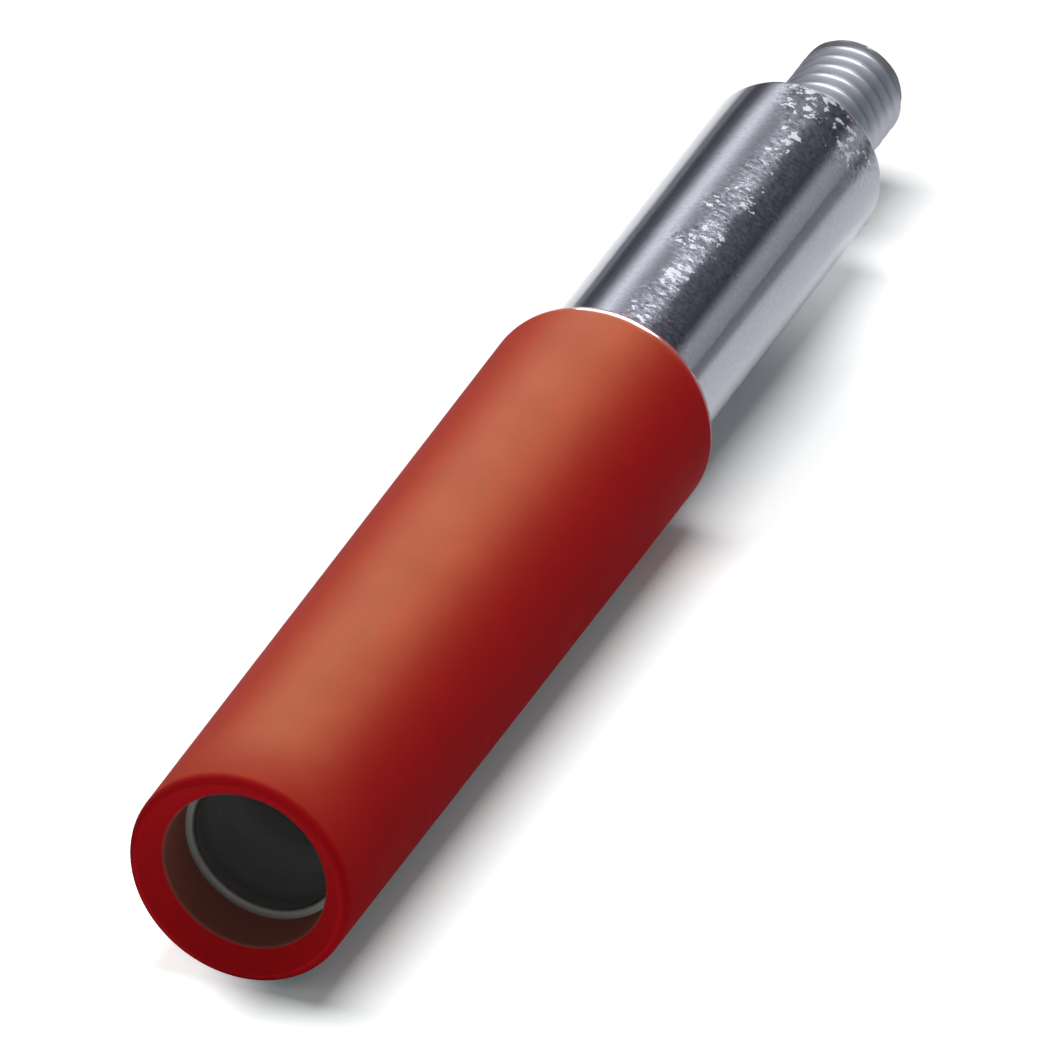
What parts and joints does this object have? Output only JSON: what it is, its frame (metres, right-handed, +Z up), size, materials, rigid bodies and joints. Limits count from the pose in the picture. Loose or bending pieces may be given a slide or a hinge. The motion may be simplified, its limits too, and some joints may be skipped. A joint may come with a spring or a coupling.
{
  "type": "test connector",
  "caption": "Slim inline test connector: plated metal socket with a blind plug bore and a threaded stud, in a red insulating sleeve.",
  "frame": {"origin": "on the connector's axis, in the plane of the shoulder that the stud leaves", "axes": "+Y along the connector's axis from the plug mouth to the stud, +Z up with the connector lying on its side"},
  "size_m": [0.0064, 0.0429, 0.0064],
  "materials": {
    "contact": "bright plated",
    "sleeve": "satin"
  },
  "bodies": {
    "root": {"contact_body": "contact", "insulating_sleeve": "sleeve"}
  },
  "joints": []
}
